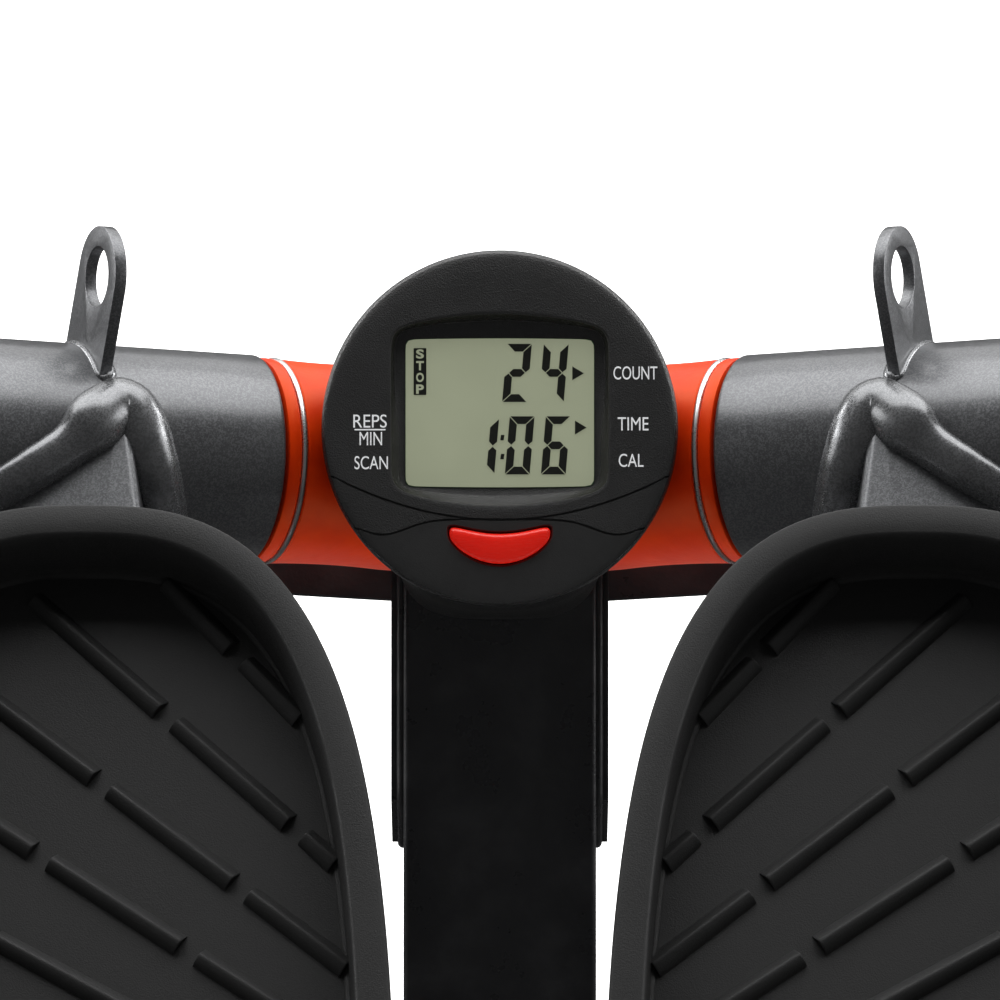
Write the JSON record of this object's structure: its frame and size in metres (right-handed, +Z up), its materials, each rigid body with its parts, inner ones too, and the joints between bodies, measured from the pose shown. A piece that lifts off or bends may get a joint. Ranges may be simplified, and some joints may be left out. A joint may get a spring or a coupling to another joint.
{
  "type": "mini twist stepper",
  "caption": "Mini twist stepper: foot trays on arms that turn on tilted axles, linked by a rocker, damped by cylinders, with a round monitor on a leaning upright.",
  "frame": {"origin": "on the floor, under the middle of the machine's bounding box", "axes": "+X to the user's right, +Y away from the user along the machine's length, +Z up"},
  "size_m": [0.361, 0.4013, 0.2551],
  "materials": {
    "black_paint": "semi-gloss",
    "grey_paint": "metallic, satin",
    "black_plastic": "fine grain",
    "pedal_plastic": "fine grain",
    "orange_plastic": "satin",
    "red_plastic": "gloss",
    "rubber": "matte",
    "chrome": "polished",
    "steel": "plain",
    "nylon": "plain",
    "lcd_panel": "satin",
    "lcd_glass": "clear",
    "board_green": "solder mask"
  },
  "bodies": {
    "frame": {"main_beam": "black_paint", "front_stabiliser": "black_paint", "rear_stabiliser": "black_paint", "foot_front_left": "rubber", "foot_front_right": "rubber", "foot_rear_left": "rubber", "foot_rear_right": "rubber", "upright_post": "black_paint", "axle_yoke": "steel", "rocker_journal": "steel", "rocker_bolt": "steel", "monitor_rear_shell": "black_plastic", "monitor_front_shell": "black_plastic", "lcd_lens": "lcd_glass", "lcd_panel": "lcd_panel", "circuit_board": "board_green", "cheek_plate_left": "black_paint", "cheek_plate_right": "black_paint", "hub_collar_left": "orange_plastic", "hub_collar_right": "orange_plastic", "trim_ring_left": "chrome", "trim_ring_right": "chrome", "axle_bolt_left": "steel", "axle_bolt_right": "steel", "cylinder_bracket_left": "black_paint", "cylinder_bracket_right": "black_paint", "cylinder_pin_left": "steel", "cylinder_pin_right": "steel"},
    "button": {"reset_button": "red_plastic"},
    "rocker": {"rocker_bar": "black_paint"},
    "left_arm": {"sleeve_left": "grey_paint", "inner_bush_left": "nylon", "outer_bush_left": "nylon", "sleeve_cap_left": "black_plastic", "eyelet_left": "grey_paint", "arm_tube_left": "grey_paint", "rocker_lug_left": "grey_paint", "pedal_left": "pedal_plastic", "pedal_plate_left": "grey_paint", "rod_bracket_left": "grey_paint", "rod_pin_left": "steel"},
    "left_barrel": {"cylinder_barrel_left": "chrome", "gland_left": "black_plastic"},
    "left_rod": {"piston_rod_left": "chrome"},
    "right_arm": {"sleeve_right": "grey_paint", "inner_bush_right": "nylon", "outer_bush_right": "nylon", "sleeve_cap_right": "black_plastic", "eyelet_right": "grey_paint", "arm_tube_right": "grey_paint", "rocker_lug_right": "grey_paint", "pedal_right": "pedal_plastic", "pedal_plate_right": "grey_paint", "rod_bracket_right": "grey_paint", "rod_pin_right": "steel"},
    "right_barrel": {"cylinder_barrel_right": "chrome", "gland_right": "black_plastic"},
    "right_rod": {"piston_rod_right": "chrome"}
  },
  "joints": [
    {"name": "left_arm_hinge", "type": "hinge", "parent": "frame", "child": "left_arm", "pos_m": [0, 0.1774, 0.162], "axis": [-0.9125, -0.2527, 0.3218], "range_deg": [-10, 10]},
    {"name": "right_arm_hinge", "type": "hinge", "parent": "frame", "child": "right_arm", "pos_m": [0, 0.1774, 0.162], "axis": [-0.9125, 0.2527, -0.3218], "range_deg": [-10, 10]},
    {"name": "rocker_hinge", "type": "hinge", "parent": "frame", "child": "rocker", "pos_m": [0, 0.17952, 0.12806], "axis": [0, -0.7071, 0.7071], "range_deg": [-8.3, 8.3]},
    {"name": "left_barrel_hinge", "type": "hinge", "parent": "frame", "child": "left_barrel", "pos_m": [-0.11569, 0.08477, 0.05645], "axis": [-0.9125, -0.2527, 0.3218], "range_deg": [-5.5, 5.5]},
    {"name": "left_rod_slide", "type": "slide", "parent": "left_barrel", "child": "left_rod", "axis": [0.3553, -0.0992, 0.9295], "range_m": [-0.0145, 0.0145]},
    {"name": "right_barrel_hinge", "type": "hinge", "parent": "frame", "child": "right_barrel", "pos_m": [0.11569, 0.08477, 0.05645], "axis": [-0.9125, 0.2527, -0.3218], "range_deg": [-5.5, 5.5]},
    {"name": "right_rod_slide", "type": "slide", "parent": "right_barrel", "child": "right_rod", "axis": [-0.3553, -0.0992, 0.9295], "range_m": [-0.0145, 0.0145]},
    {"name": "reset_button_press", "type": "slide", "parent": "frame", "child": "button", "axis": [0, 0.7071, -0.7071], "range_m": [0, 0.0015], "stiffness_N_per_m": 500}
  ],
  "couplings": [
    {"joint": "right_arm_hinge", "follows": "left_arm_hinge", "ratio": -1},
    {"joint": "rocker_hinge", "follows": "left_arm_hinge", "ratio": 0.82},
    {"joint": "left_barrel_hinge", "follows": "left_arm_hinge", "ratio": -0.52438},
    {"joint": "left_rod_slide", "follows": "left_arm_hinge", "m_per_rad": 0.08205},
    {"joint": "right_barrel_hinge", "follows": "left_arm_hinge", "ratio": 0.52438},
    {"joint": "right_rod_slide", "follows": "left_arm_hinge", "m_per_rad": -0.08205}
  ]
}
